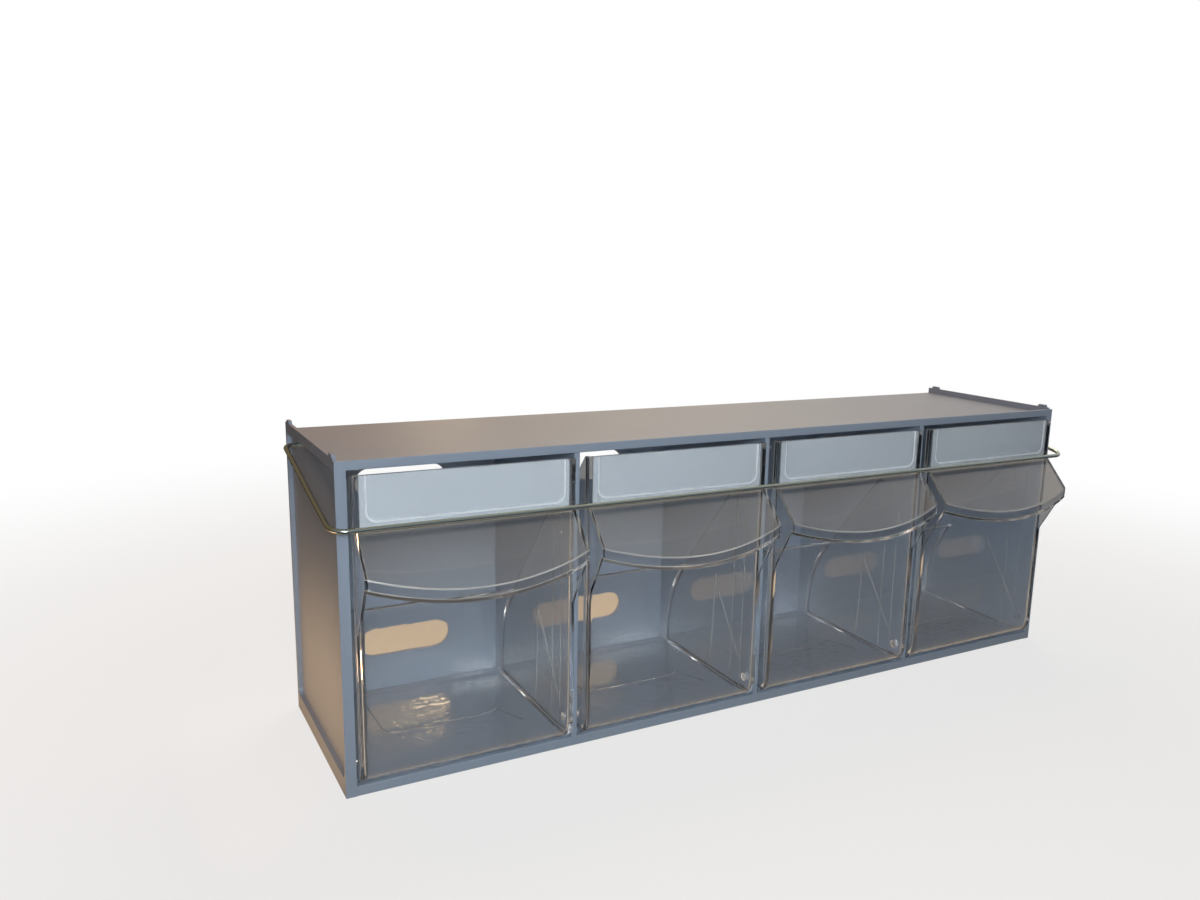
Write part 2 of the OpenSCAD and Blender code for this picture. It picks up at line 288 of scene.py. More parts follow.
@dataclass(frozen=True)
class ZincWire:
    """Drawn steel wire, zinc plated and yellow passivated: bright, with a straw tint."""

    name: str = "zinc_plated_wire"
    colour: str = "#bec6bc"
    roughness: float = 0.2

    def make(self) -> bpy.types.Material:
        """Build the material.

        Returns:
            The new material.
        """
        material = bpy.data.materials.new(self.name)
        tree = empty_tree(material)
        shader = add_node(tree, "ShaderNodeBsdfPrincipled",
                          {"Base Color": linear(self.colour), "Metallic": 1.0,
                           "Roughness": self.roughness})
        add_node(tree, "ShaderNodeOutputMaterial", None, {"Surface": shader.outputs["BSDF"]})
        return material


# --- The studio ------------------------------------------------------------------------


@dataclass(frozen=True)
class Lamp:
    """One soft area lamp, aimed at the cabinet."""

    name: str
    place: tuple[float, float, float]
    size: tuple[float, float]
    power: float
    colour: str = "#ffffff"
    aim: tuple[float, float, float] = (0.0, 0.0, 0.1)
    # The angle that its light opens to, in degrees.
    spread: float = 180.0
    # Whether glossy and clear faces show the lamp.
    reflected: bool = True

    def light(self) -> None:
        """Hang the lamp in the scene."""
        data = bpy.data.lights.new(self.name, "AREA")
        data.shape = "RECTANGLE"
        data.size, data.size_y = self.size
        data.energy = self.power
        data.color = linear(self.colour)[:3]
        data.spread = math.radians(self.spread)
        lamp = bpy.data.objects.new(self.name, data)
        lamp.location = self.place
        lamp.rotation_euler = (Vector(self.aim) - lamp.location).to_track_quat("-Z", "Y").to_euler()
        lamp.visible_glossy = lamp.visible_transmission = self.reflected
        bpy.context.scene.collection.objects.link(lamp)


@dataclass(frozen=True)
class Studio:
    """The camera, the pale floor, the lamps and the surroundings."""

    camera_place: tuple[float, float, float] = (-0.42272, -0.64291, 0.32382)
    camera_turn: tuple[float, float, float] = (-30.35, -1.66, -11.65)
    lens: float = 30.30
    shift: tuple[float, float] = (-0.0545, 0.0141)
    floor_size: float = 14.0
    floor_colour: str = "#bcb9b4"
    # What glossy faces see of the floor, beside the cabinet and away from it.
    near_floor_colour: str = "#ddbb92"
    far_floor_colour: str = "#9a9a98"
    left_floor_colour: str = "#20160c"
    front_floor_colour: str = "#3a4353"
    # Over what distance from the centre the near floor gives way to the far one, in metres.
    near_floor_reach: tuple[float, float] = (0.34, 0.7)
    # The X left of which the far floor has the left one's colour.
    left_floor_edge: float = -0.3
    # The Y over which the front floor's colour comes in.
    front_floor_fade: tuple[float, float] = (-0.05, -0.09)
    # How far from the centre the floor turns white, and how white it is beside the cabinet.
    white_reach: tuple[float, float] = (0.35, 1.1)
    near_white: float = 0.72
    # How far the floor takes on the wall's glow where it is seen through the clear bins.
    through_share: float = 0.7
    # What is seen through the slots and the clear bins, close behind the cabinet and away from it.
    behind_colour: str = "#e9d6bd"
    far_behind_colour: str = "#85868a"
    # What glossy faces see of the room, in front of the cabinet and behind it.
    front_colour: str = "#8d939c"
    room_colours: tuple[tuple[float, str], ...] = (
        (0.0, "#7d6e58"), (0.2, "#90703f"), (0.48, "#fff0d2"), (0.75, "#d3cfcc"))
    # The Y of the directions between which the room turns from its front to its back.
    room_turn: tuple[float, float] = (-0.75, 0.15)
    # The soft light from all round, which is dimmer and browner on the left, and the X of its turn.
    left_turn: tuple[float, float] = (-0.5, 0.35)
    left_colour: str = "#2f2115"
    ambient_colour: str = "#d9d3cc"
    ambient_strength: float = 0.5
    lamps: tuple[Lamp, ...] = (
        Lamp("camera_softbox", (-0.50, -0.95, 0.50), (0.40, 0.30), 3.9, "#ecf7ff"),
        Lamp("camera_flash", (-0.45, -0.85, 0.44), (0.12, 0.09), 2.6, "#eef7ff"),
        Lamp("low_left_softbox", (-0.42, 0.0, 0.03), (0.22, 0.02), 0.072, "#ffcb98", (-0.3, 0.0, 0.06),
             spread=105.0),
        Lamp("left_top_softbox", (-0.35, 0.4, 0.9), (0.5, 0.4), 2.5, "#ff9f40", (-0.2, 0.0, 0.2),
             reflected=False),
        Lamp("top_softbox", (0.35, 0.5, 1.0), (0.7, 0.6), 4.7, "#fff0e2", (0.15, 0.0, 0.2)),
        Lamp("back_softbox", (0.6, 1.1, 0.3), (0.7, 0.4), 6.0, "#dcebff", reflected=False),
        Lamp("back_window", (0.12, 1.03, 0.45), (0.12, 0.05), 0.11, "#ffe6bc", (-0.21, 0.03, 0.02)),
    )

    def place_camera(self) -> None:
        """Put the camera where the cabinet is seen from, turned as it was held."""
        yaw, roll, pitch = (math.radians(angle) for angle in self.camera_turn)
        turn = Matrix.Rotation(yaw, 3, "Z") @ Matrix.Rotation(roll, 3, "Y") @ Matrix.Rotation(pitch, 3, "X")
        right, forward, up = turn.col
        data = bpy.data.cameras.new("camera")
        data.lens = self.lens
        data.shift_x, data.shift_y = self.shift
        data.clip_start, data.clip_end = 0.01, 100.0
        camera = bpy.data.objects.new("camera", data)
        camera.matrix_world = (Matrix.Translation(self.camera_place)
                               @ Matrix((right, up, -forward)).transposed().to_4x4())
        bpy.context.scene.collection.objects.link(camera)
        bpy.context.scene.camera = camera

    def lay_floor(self) -> None:
        """Lay a pale floor that keeps the cabinet's shadow and turns white away from it."""
        deselect()
        bpy.ops.mesh.primitive_plane_add(size=self.floor_size)
        floor = bpy.context.object
        floor.name = floor.data.name = "floor"
        material = bpy.data.materials.new("studio_floor_paint")
        tree = empty_tree(material)
        place = add_node(tree, "ShaderNodeTexCoord").outputs["Object"]
        away = add_node(tree, "ShaderNodeVectorMath", None, {0: place}, operation="LENGTH").outputs["Value"]
        fade = add_node(tree, "ShaderNodeMapRange",
                        {"From Min": self.white_reach[0], "From Max": self.white_reach[1],
                         "To Min": self.near_white, "To Max": 1.0},
                        {"Value": away}, interpolation_type="SMOOTHSTEP")
        share = add_node(tree, "ShaderNodeMath", None,
                         {0: looked_at(tree, "Is Camera Ray"), 1: fade.outputs["Result"]},
                         operation="MULTIPLY")
        through = add_node(tree, "ShaderNodeMath", {1: self.through_share},
                           {0: looked_at(tree, "Is Transmission Ray")}, operation="MULTIPLY")
        fall = add_node(tree, "ShaderNodeMapRange",
                        {"From Min": self.near_floor_reach[0], "From Max": self.near_floor_reach[1]},
                        {"Value": away}, interpolation_type="SMOOTHSTEP")
        spot = add_node(tree, "ShaderNodeSeparateXYZ", None, {0: place})
        left = add_node(tree, "ShaderNodeMath", {1: self.left_floor_edge}, {0: spot.outputs["X"]},
                        operation="LESS_THAN")
        distance = add_node(tree, "ShaderNodeMix",
                            {"A": linear(self.far_floor_colour), "B": linear(self.left_floor_colour)},
                            {"Factor": left.outputs[0]}, data_type="RGBA")
        beside = add_node(tree, "ShaderNodeMix", {"A": linear(self.near_floor_colour)},
                          {"Factor": fall.outputs["Result"], "B": distance.outputs["Result"]},
                          data_type="RGBA")
        front = add_node(tree, "ShaderNodeMapRange",
                         {"From Min": self.front_floor_fade[0], "From Max": self.front_floor_fade[1]},
                         {"Value": spot.outputs["Y"]})
        table = add_node(tree, "ShaderNodeMix", {"B": linear(self.front_floor_colour)},
                         {"Factor": front.outputs["Result"], "A": beside.outputs["Result"]},
                         data_type="RGBA")
        paint = add_node(tree, "ShaderNodeBsdfDiffuse", {"Color": linear(self.floor_colour)})
        white = add_node(tree, "ShaderNodeEmission", {"Color": linear("#ffffff")})
        beyond = add_node(tree, "ShaderNodeMix",
                          {"A": linear(self.behind_colour), "B": linear(self.far_behind_colour)},
                          {"Factor": fall.outputs["Result"]}, data_type="RGBA")
        warm = add_node(tree, "ShaderNodeEmission", None, {"Color": beyond.outputs["Result"]})
        glossy = add_node(tree, "ShaderNodeEmission", None, {"Color": table.outputs["Result"]})
        surface = paint
        for part, light in ((looked_at(tree, "Is Glossy Ray"), glossy), (through.outputs[0], warm),
                            (share.outputs[0], white)):
            surface = add_node(tree, "ShaderNodeMixShader", None,
                               {0: part, 1: surface.outputs[0], 2: light.outputs[0]})
        add_node(tree, "ShaderNodeOutputMaterial", None, {"Surface": surface.outputs[0]})
        floor.data.materials.append(material)

    def surround(self) -> None:
        """Light the scene softly from all round, on a white background.

        Glossy faces see a warm room that is cooler towards the front, and what is seen through the
        clear bins is the pale warm wall behind.
        """
        world = bpy.data.worlds.new("studio_world")
        bpy.context.scene.world = world
        tree = empty_tree(world)
        way = add_node(tree, "ShaderNodeSeparateXYZ", None,
                       {0: add_node(tree, "ShaderNodeTexCoord").outputs["Generated"]})
        backwards = add_node(tree, "ShaderNodeMapRange",
                             {"From Min": self.room_turn[0], "From Max": self.room_turn[1]},
                             {"Value": way.outputs["Y"]}, interpolation_type="SMOOTHSTEP")
        wall = add_node(tree, "ShaderNodeValToRGB", None, {"Fac": way.outputs["X"]})
        for spot, (place, colour) in enumerate(self.room_colours):
            stop = wall.color_ramp.elements[spot] if spot < 2 else wall.color_ramp.elements.new(place)
            stop.position, stop.color = place, linear(colour)
        room = add_node(tree, "ShaderNodeMix", {"A": linear(self.front_colour)},
                        {"Factor": backwards.outputs["Result"], "B": wall.outputs["Color"]},
                        data_type="RGBA")
        rightwards = add_node(tree, "ShaderNodeMapRange",
                              {"From Min": self.left_turn[0], "From Max": self.left_turn[1]},
                              {"Value": way.outputs["X"]}, interpolation_type="SMOOTHSTEP")
        ambient = add_node(tree, "ShaderNodeMix",
                           {"A": linear(self.left_colour), "B": linear(self.ambient_colour)},
                           {"Factor": rightwards.outputs["Result"]}, data_type="RGBA")
        surface = add_node(tree, "ShaderNodeBackground", {"Strength": self.ambient_strength},
                           {"Color": ambient.outputs["Result"]})
        glossy = add_node(tree, "ShaderNodeBackground", None, {"Color": room.outputs["Result"]})
        behind = add_node(tree, "ShaderNodeBackground", {"Color": linear(self.behind_colour)})
        seen = add_node(tree, "ShaderNodeBackground", {"Color": linear("#ffffff")})
        for kind, light in (("Is Glossy Ray", glossy), ("Is Transmission Ray", behind),
                            ("Is Camera Ray", seen)):
            surface = add_node(tree, "ShaderNodeMixShader", None,
                               {0: looked_at(tree, kind), 1: surface.outputs[0], 2: light.outputs[0]})
        add_node(tree, "ShaderNodeOutputWorld", None, {"Surface": surface.outputs[0]})

    def set_up(self) -> None:
        """Build the whole studio."""
        scene = bpy.context.scene
        scene.view_settings.view_transform = "Standard"
        # The clear walls pipe light along, so it may bounce many times before it comes out of a rim.
        scene.cycles.max_bounces = scene.cycles.transmission_bounces = 32
        scene.cycles.glossy_bounces = 24
        self.place_camera()
        self.lay_floor()
        self.surround()
        for lamp in self.lamps:
            lamp.light()


# --- Modelling by hand -----------------------------------------------------------------


PlaceTest = Callable[[Vector, Vector], bool]


def deselect() -> None:
    """Clear the selection, which loading the frame and each new primitive leave behind."""
    bpy.ops.object.select_all(action="DESELECT")


def choose(piece: bpy.types.Object) -> None:
    """Select one piece alone and make it the active one.

    Args:
        piece: The piece to select.
    """
    deselect()
    piece.select_set(True)
    bpy.context.view_layer.objects.active = piece


def settle(name: str) -> bpy.types.Object:
    """Name the primitive just added, and put its place into its mesh.

    Args:
        name: The piece's name.

    Returns:
        The piece, which stands untransformed at the origin.
    """
    piece = bpy.context.object
    piece.name = piece.data.name = name
    bpy.ops.object.transform_apply(location=True, rotation=True, scale=True)
    return piece


def start_block(name: str, low: tuple[float, float, float],
                high: tuple[float, float, float]) -> bpy.types.Object:
    """Add a block to shape.

    Args:
        name: The piece's name.
        low: The block's lowest corner in millimetres.
        high: The block's highest corner in millimetres.

    Returns:
        The new piece.
    """
    deselect()
    start, end = mm(*low), mm(*high)
    bpy.ops.mesh.primitive_cube_add(size=1.0, location=(start + end) / 2, scale=end - start)
    return settle(name)


def start_drum(name: str, radius: float, low: float, high: float, centre: tuple[float, float],
               sides: int) -> bpy.types.Object:
    """Add a cylinder along X to shape.

    Args:
        name: The piece's name.
        radius: Its radius in millimetres.
        low: Where it begins along X, in millimetres.
        high: Where it ends along X.
        centre: Its centre's Y and Z.
        sides: How many flat sides make up its round wall.

    Returns:
        The new piece.
    """
    deselect()
    bpy.ops.mesh.primitive_cylinder_add(vertices=sides, radius=radius * MM, depth=(high - low) * MM,
                                        location=mm((low + high) / 2, *centre),
                                        rotation=(0.0, math.pi / 2, 0.0))
    return settle(name)


@contextmanager
def shaping(piece: bpy.types.Object) -> Iterator[None]:
    """Open a piece in edit mode, and close it again afterwards.

    Args:
        piece: The piece to shape.

    Yields:
        Nothing. The piece is in edit mode meanwhile.
    """
    choose(piece)
    bpy.ops.object.mode_set(mode="EDIT")
    yield
    bpy.ops.object.mode_set(mode="OBJECT")


def pick_faces(test: PlaceTest) -> None:
    """Select the faces that pass a test of their centre, in millimetres, and their normal.

    Args:
        test: Tells whether a face is selected.
    """
    bpy.ops.mesh.select_mode(type="FACE")
    bpy.ops.mesh.select_all(action="DESELECT")
    mesh = bpy.context.edit_object.data
    for face in bmesh.from_edit_mesh(mesh).faces:
        face.select_set(test(face.calc_center_median() / MM, face.normal))
    bmesh.update_edit_mesh(mesh)


def pick_edges(test: PlaceTest) -> None:
    """Select the edges that pass a test of their middle, in millimetres, and their direction.

    Args:
        test: Tells whether an edge is selected.
    """
    bpy.ops.mesh.select_mode(type="EDGE")
    bpy.ops.mesh.select_all(action="DESELECT")
    mesh = bpy.context.edit_object.data
    for edge in bmesh.from_edit_mesh(mesh).edges:
        start, end = (corner.co for corner in edge.verts)
        if test((start + end) / (2 * MM), (end - start).normalized()):
            edge.select_set(True)
    bmesh.update_edit_mesh(mesh)


def pick_corners(test: Callable[[Vector], bool]) -> None:
    """Select the corners that pass a test of their place in millimetres.

    Args:
        test: Tells whether a corner is selected.
    """
    bpy.ops.mesh.select_mode(type="VERT")
    bpy.ops.mesh.select_all(action="DESELECT")
    mesh = bpy.context.edit_object.data
    form = bmesh.from_edit_mesh(mesh)
    for corner in form.verts:
        corner.select_set(test(corner.co / MM))
    form.select_flush_mode()
    bmesh.update_edit_mesh(mesh)


def draw_out(x: float, y: float, z: float) -> None:
    """Extrude what is selected by a step in millimetres."""
    bpy.ops.mesh.extrude_region_move(TRANSFORM_OT_translate={"value": mm(x, y, z)})


def turn_out(steps: int, degrees: float, centre: tuple[float, float, float],
             axis: tuple[float, float, float]) -> None:
    """Draw what is selected out along an arc.

    Args:
        steps: How many straight steps make up the arc.
        degrees: How far it turns, right-handed about the axis; the operator counts the other way.
        centre: The arc's centre in millimetres.
        axis: The axis that it turns about.
    """
    bpy.ops.mesh.spin(steps=steps, angle=-math.radians(degrees), center=mm(*centre), axis=axis)


def slice_through(point: tuple[float, float, float], normal: tuple[float, float, float],
                  trim: bool = False) -> None:
    """Cut the whole piece along a plane.

    Args:
        point: A point of the plane in millimetres.
        normal: The way that the plane faces.
        trim: Whether the side that it faces is cut off and the cut closed.
    """
    bpy.ops.mesh.select_all(action="SELECT")
    bpy.ops.mesh.bisect(plane_co=mm(*point), plane_no=normal, clear_outer=trim, use_fill=trim)


def round_off(width: float, steps: int = 2) -> None:
    """Bevel the selected edges by a width in millimetres."""
    bpy.ops.mesh.bevel(offset=width * MM, segments=steps, affect="EDGES", clamp_overlap=True)


def near(value: float, target: float, within: float = 0.05) -> bool:
    """Tell whether a measure in millimetres is as good as equal to another."""
    return abs(value - target) < within


def face_outwards(piece: bpy.types.Object) -> None:
    """Merge a piece's doubled corners and turn its faces outwards.

    Args:
        piece: The piece, which is closed.
    """
    with shaping(piece):
        bpy.ops.mesh.select_all(action="SELECT")
        bpy.ops.mesh.remove_doubles(threshold=0.002 * MM)
        bpy.ops.mesh.normals_make_consistent(inside=False)


def apply_modifier(piece: bpy.types.Object, kind: str, **settings: object) -> None:
    """Give a piece a modifier, set it up and apply it.

    Args:
        piece: The piece that it shapes.
        kind: The modifier's type name, as bpy knows it.
        settings: The modifier's properties.
    """
    choose(piece)
    modifier = piece.modifiers.new(kind.lower(), kind)
    for name, value in settings.items():
        setattr(modifier, name, value)
    bpy.ops.object.modifier_apply(modifier=modifier.name)


def combine(piece: bpy.types.Object, tool: bpy.types.Object, how: Joinery) -> None:
    """Join a tool's volume to a piece's, or take it away.

    Args:
        piece: The piece that is changed.
        tool: The other volume, which is used up.
        how: What becomes of the two volumes.
    """
    apply_modifier(piece, "BOOLEAN", operation=how.value, solver="EXACT", object=tool)
    bpy.data.objects.remove(tool)
    with shaping(piece):
        bpy.ops.mesh.select_all(action="SELECT")
        bpy.ops.mesh.remove_doubles(threshold=0.02 * MM)
        bpy.ops.mesh.dissolve_degenerate(threshold=0.01 * MM)


def soften(piece: bpy.types.Object, width: float, steps: int = 2, angle: float = 40.0) -> None:
    """Round all of a piece's edges that are sharper than an angle, in degrees."""
    apply_modifier(piece, "BEVEL", width=width * MM, segments=steps, limit_method="ANGLE",
                   angle_limit=math.radians(angle), use_clamp_overlap=True)


def copy_of(piece: bpy.types.Object, name: str, shift: float = 0.0,
            mirrored: bool = False) -> bpy.types.Object:
    """Copy a piece with a mesh of its own.

    Args:
        piece: The piece to copy.
        name: The copy's name.
        shift: How far the copy is moved along X, in millimetres.
        mirrored: Whether the copy is its mirror image, left to right.

    Returns:
        The copy.
    """
    choose(piece)
    bpy.ops.object.duplicate(linked=False)
    copy = bpy.context.object
    copy.location.x = shift * MM
    if mirrored:
        copy.scale.x = -1.0
    settle(name)
    if mirrored:
        face_outwards(copy)
    return copy


def finish_faces(piece: bpy.types.Object, finish: bpy.types.Material, belongs: PlaceTest,
                 widest: float = math.inf) -> None:
    """Give some of a piece's faces a finish of their own.

    Args:
        piece: The piece, which has its main finish already.
        finish: The material of the faces.
        belongs: Tells from a face's centre, in millimetres, and its normal whether it gets the finish.
        widest: The width in millimetres up to which it gets it.
    """
    piece.data.materials.append(finish)
    spot = len(piece.data.materials) - 1
    corners = piece.data.vertices
    for face in piece.data.polygons:
        ring = [corners[index].co for index in face.vertices]
        longest = max((end - start).length for start, end in zip(ring, ring[1:] + ring[:1]))
        if face.area < widest * MM * longest and belongs(face.center / MM, face.normal):
            face.material_index = spot


def hand_in(piece: bpy.types.Object, finish: bpy.types.Material, body: str, slot: str, *nodes: str,
            smooth_angle: float = 32.0) -> None:
    """Dress a finished piece and let it ride on its body.

    Args:
        piece: The finished piece.
        finish: Its material.
        body: The body of the frame that carries it.
        slot: The record's material slot; not used.
        nodes: The CAD nodes that it stands for.
        smooth_angle: Edges flatter than this, in degrees, are shaded as a curve.
    """
    piece.data.materials.clear()
    piece.data.materials.append(finish)
    choose(piece)
    bpy.ops.object.shade_smooth_by_angle(angle=math.radians(smooth_angle))
    # The wide flat faces keep their own normals, so that they neither bulge nor bend what shines through.
    apply_modifier(piece, "WEIGHTED_NORMAL", mode="FACE_AREA", weight=100, keep_sharp=True)
    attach(piece, body)
    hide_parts(*nodes)
    log.info("%s rides on %s: %d faces", piece.name, body, len(piece.data.polygons))


# --- The housing -----------------------------------------------------------------------


@dataclass(frozen=True)
class Layout:
    """The lines that the sub-assemblies share, in millimetres in the frame's axes."""

    half_width: float = 300.0
    inner_half_width: float = 293.5
    front: float = -72.0
    back: float = 72.0
    back_panel: float = 69.5
    floor: float = 3.5
    bottom_lip: float = 6.4
    ceiling: float = 201.3
    top: float = 203.2
    lip_top: float = 207.0
    rim_top: float = 208.0
    lip_back: float = -69.0
    pivot: tuple[float, float] = (-64.0, 19.0)
    bar_pivot: tuple[float, float] = (46.0, 196.0)
    bin_centres: tuple[float, ...] = (-222.35, -74.6, 74.6, 222.35)
    divider_centres: tuple[float, ...] = (-149.2, 0.0, 149.2)


@dataclass(frozen=True)
class Housing:
    """The grey housing: eight moulded panels that meet flush, so that they look like one."""

    lines: Layout
    finish: bpy.types.Material
    edge_r: float = 0.5
    divider_t: float = 4.0
    pin_hole_r: float = 3.05
    wire_hole_r: float = 1.68
    recess: float = 3.0
    recess_foot: float = 11.0
    recess_corner_r: float = 5.0
    rim_t: float = 2.2
    lug_starts: tuple[float, ...] = (-67.0, 59.0)
    lug_length: float = 9.0
    lug_height: float = 2.0
    lug_slope: float = 1.2
    slot_length: float = 67.0
    slot_height: float = 22.0
    slot_levels: tuple[float, ...] = (41.0, 160.5)
    slot_edge_r: float = 0.4

    def build(self) -> None:
        """Make all eight panels."""
        self.hand_in(self.top_panel(), "top_panel")
        self.hand_in(self.bottom_panel(), "bottom_panel")
        self.hand_in(self.back_panel(), "back_panel")
        right = self.end_panel()
        self.hand_in(copy_of(right, "left_end_moulding", mirrored=True), "left_end_panel")
        self.hand_in(right, "right_end_panel")
        first = self.divider(self.lines.divider_centres[0])
        for number, centre in enumerate(self.lines.divider_centres[1:], 2):
            shift = centre - self.lines.divider_centres[0]
            self.hand_in(copy_of(first, f"divider_moulding_{number}", shift), f"divider_{number}")
        self.hand_in(first, "divider_1")

    def hand_in(self, piece: bpy.types.Object, node: str) -> None:
        """Dress a panel and let it stand for its CAD node."""
        hand_in(piece, self.finish, "cabinet", "housing", node)

    def top_panel(self) -> bpy.types.Object:
        """Shape the top plate, with its raised front lip and a soft corner behind it.

        Returns:
            The piece.
        """
        lines = self.lines
        piece = start_block("top_moulding", (-lines.inner_half_width, lines.front, lines.ceiling),
                            (lines.inner_half_width, lines.back_panel, lines.top))
        with shaping(piece):
            slice_through((0, lines.lip_back, 0), (0, 1, 0))
            pick_faces(lambda at, way: way.z > 0.9 and at.y < lines.lip_back)
            draw_out(0, 0, lines.lip_top - lines.top)
            pick_edges(lambda at, way: abs(way.x) > 0.9 and (
                near(at.z, lines.lip_top) or near(at.y, lines.lip_back) and near(at.z, lines.top)
                or near(at.y, lines.front) and near(at.z, lines.ceiling)))
            round_off(self.edge_r, 3)
        return piece

    def bottom_panel(self) -> bpy.types.Object:
        """Shape the bottom plate, with its raised front lip.

        Returns:
            The piece.
        """
        lines = self.lines
        piece = start_block("bottom_moulding", (-lines.inner_half_width, lines.front, 0),
                            (lines.inner_half_width, lines.back_panel, lines.floor))
        with shaping(piece):
            slice_through((0, lines.lip_back, 0), (0, 1, 0))
            pick_faces(lambda at, way: way.z > 0.9 and at.y < lines.lip_back)
            draw_out(0, 0, lines.bottom_lip - lines.floor)
            pick_edges(lambda at, way: abs(way.x) > 0.9 and (
                near(at.z, lines.bottom_lip) or near(at.y, lines.lip_back) and near(at.z, lines.floor)
                or near(at.y, lines.front) and near(at.z, 0)))
            round_off(self.edge_r, 3)
        return piece

    def back_panel(self) -> bpy.types.Object:
        """Shape the back plate and cut its eight long hanging slots.

        Returns:
            The piece.
        """
        lines = self.lines
        piece = start_block("back_moulding", (-lines.inner_half_width, lines.back_panel, 0),
                            (lines.inner_half_width, lines.back, lines.top))
        half = self.slot_height / 2
        for centre in lines.bin_centres:
            for level in self.slot_levels:
                cutter = start_block(
                    "slot_cutter",
                    (centre - self.slot_length / 2, lines.back_panel - OVERCUT, level - half),
                    (centre + self.slot_length / 2, lines.back + OVERCUT, level + half))
                with shaping(cutter):
                    pick_edges(lambda at, way: abs(way.y) > 0.9)
                    # A hair under half the height, so that an end's two roundings don't meet.
                    round_off(half - 0.01, 14)
                combine(piece, cutter, Joinery.TAKE_AWAY)
        soften(piece, self.slot_edge_r)
        return piece

    def divider(self, centre: float) -> bpy.types.Object:
        """Shape one divider, whose front edge runs flush into both lips.

        Args:
            centre: Where its middle lies along X, in millimetres.

        Returns:
            The piece.
        """
        lines = self.lines
        half = self.divider_t / 2
        piece = start_block("divider_moulding_1", (centre - half, lines.front, lines.bottom_lip),
                            (centre + half, lines.back_panel, lines.ceiling))
        with shaping(piece):
            slice_through((0, lines.lip_back, 0), (0, 1, 0))
            pick_faces(lambda at, way: way.z < -0.9 and at.y > lines.lip_back)
            draw_out(0, 0, lines.floor - lines.bottom_lip)
            pick_edges(lambda at, way: abs(way.z) > 0.9 and near(at.y, lines.front))
            round_off(self.edge_r, 3)
        hole = start_drum("pin_hole", self.pin_hole_r, centre - half - SHORT_OVERCUT,
                          centre + half + SHORT_OVERCUT, lines.pivot, 32)
        combine(piece, hole, Joinery.TAKE_AWAY)
        return piece

    def end_panel(self) -> bpy.types.Object:
        """Shape the right end: a recessed outer face, a thin top rim and two stacking lugs.

        Returns:
            The piece.
        """
        lines = self.lines
        rim_inside = lines.half_width - self.rim_t
        recess_back = lines.back - (lines.lip_back - lines.front)
        piece = start_block("right_end_moulding", (lines.inner_half_width, lines.front, 0),
                            (lines.half_width, lines.back, lines.top))
        with shaping(piece):
            slice_through((0, lines.lip_back, 0), (0, 1, 0))
            slice_through((0, recess_back, 0), (0, 1, 0))
            slice_through((0, 0, self.recess_foot), (0, 0, 1))
            slice_through((0, 0, lines.ceiling), (0, 0, 1))
            pick_faces(lambda at, way: way.x > 0.9 and lines.lip_back < at.y < recess_back
                       and self.recess_foot < at.z < lines.ceiling)
            draw_out(-self.recess, 0, 0)
            pick_edges(lambda at, way: abs(way.x) > 0.9 and near(abs(at.y), -lines.lip_back)
                       and (near(at.z, self.recess_foot) or near(at.z, lines.ceiling))
                       and at.x > lines.half_width - self.recess)
            round_off(self.recess_corner_r, 6)
            slice_through((rim_inside, 0, 0), (1, 0, 0))
            pick_faces(lambda at, way: way.z > 0.9 and near(at.z, lines.top) and at.y < lines.lip_back)
            draw_out(0, 0, lines.lip_top - lines.top)
            pick_faces(lambda at, way: way.z > 0.9 and near(at.z, lines.top) and at.x > rim_inside)
            draw_out(0, 0, lines.rim_top - lines.top)
            for start in self.lug_starts:
                slice_through((0, start, 0), (0, 1, 0))
                slice_through((0, start + self.lug_length, 0), (0, 1, 0))
                middle = start + self.lug_length / 2
                pick_faces(lambda at, way: way.z > 0.9 and near(at.z, lines.rim_top)
                           and near(at.y, middle, self.lug_length / 4))
                draw_out(0, 0, self.lug_height)
                shrink = 1 - 2 * self.lug_slope / self.lug_length
                bpy.ops.transform.resize(value=(1, shrink, 1), center_override=mm(0, middle, 0))
        hole = start_drum("wire_hole", self.wire_hole_r, lines.inner_half_width - SHORT_OVERCUT,
                          lines.half_width, lines.bar_pivot, 24)
        combine(piece, hole, Joinery.TAKE_AWAY)
        with shaping(piece):
            pick_edges(lambda at, way: self.outer_edge(at, way))
            round_off(self.edge_r, 2)
        return piece

    def outer_edge(self, at: Vector, way: Vector) -> bool:
        """Tell whether an edge of the right end is one that the hand can feel.

        Args:
            at: The edge's middle in millimetres.
            way: The edge's direction.

        Returns:
            Whether it is rounded.
        """
        lines = self.lines
        upright = abs(way.z) > 0.9 and (
            near(at.y, lines.front) or near(at.y, lines.back) and near(at.x, lines.half_width))
        along = abs(way.y) > 0.9 and near(at.x, lines.half_width) and (
            near(at.z, 0) or near(at.z, lines.rim_top) or near(at.z, lines.rim_top + self.lug_height))
        across = abs(way.x) > 0.9 and near(at.y, lines.front) and near(at.z, lines.lip_top)
        return upright or along or across


# --- The bins --------------------------------------------------------------------------


